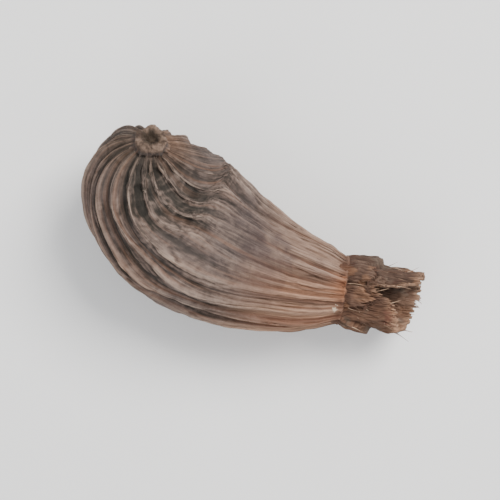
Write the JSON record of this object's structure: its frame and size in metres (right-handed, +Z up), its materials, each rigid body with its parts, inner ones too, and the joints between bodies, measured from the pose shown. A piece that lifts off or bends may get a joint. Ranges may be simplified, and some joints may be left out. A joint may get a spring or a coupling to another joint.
{
  "type": "black cardamom pod",
  "caption": "Dried black cardamom pod lying on its side: ribbed brown husk, broken stalk end and a torn calyx tuft on the neck.",
  "frame": {"origin": "centre of the bounding box's bottom face, in the plane that the pod lies on", "axes": "+X along the pod from the stalk end to the calyx tuft, +Z up from the surface that it lies on, +Y to the side that its broken stalk faces"},
  "size_m": [0.0336, 0.016, 0.0134],
  "materials": {
    "husk": "matte, dusty and fibrous",
    "calyx_tuft": "matte, papery"
  },
  "bodies": {
    "root": {"husk": "husk", "calyx_tuft": "calyx_tuft"}
  },
  "joints": []
}
